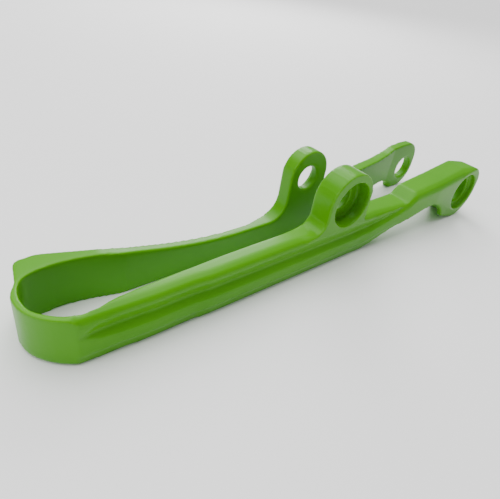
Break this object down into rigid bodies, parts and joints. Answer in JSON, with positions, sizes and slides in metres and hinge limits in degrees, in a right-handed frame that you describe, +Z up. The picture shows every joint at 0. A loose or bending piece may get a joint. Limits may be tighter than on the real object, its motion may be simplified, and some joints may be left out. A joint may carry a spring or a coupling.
{
  "type": "chain slider",
  "caption": "U-shaped moulded strip with a loop at the front, two grooved arms, an upright bolt ear on each arm and a bolt boss at each rear end.",
  "frame": {"origin": "centre of the near ear's bolt seat, on the near arm's outer face", "axes": "+X rearwards along the near arm, from the loop to the rear bosses; +Y across from the near arm to the far arm; +Z up the width of the strip, towards the tops of the ears. The part lies on its lower edge at z = -0.041 m."},
  "size_m": [0.3351, 0.062, 0.0613],
  "materials": {
    "slider_plastic": "satin moulded plastic, lime green, coloured through"
  },
  "bodies": {
    "root": {"chain_slider": "slider_plastic"}
  },
  "joints": []
}
